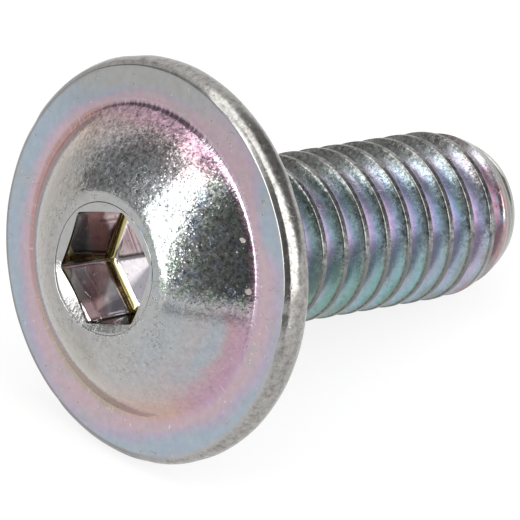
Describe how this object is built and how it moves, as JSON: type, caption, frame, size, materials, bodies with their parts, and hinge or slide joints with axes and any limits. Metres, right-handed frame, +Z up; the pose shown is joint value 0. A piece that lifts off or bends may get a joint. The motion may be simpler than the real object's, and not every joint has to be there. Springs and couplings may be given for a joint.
{
  "type": "screw",
  "caption": "Flanged button head screw with a hexagon socket and a fully threaded right-hand metric shank, zinc plated steel, lying on its side.",
  "frame": {"origin": "on the surface that the screw lies on, under the middle of its bounding box", "axes": "+Z up, +X along the lying screw from the head towards the point, with the screw's own axis 16.7 degrees off X because the flange lifts the head"},
  "size_m": [0.0124, 0.0094, 0.009],
  "materials": {
    "zinc_plate": "bright zinc plate with a thin iridescent passivation, satin, lightly marked"
  },
  "bodies": {
    "root": {"screw": "zinc_plate"}
  },
  "joints": []
}
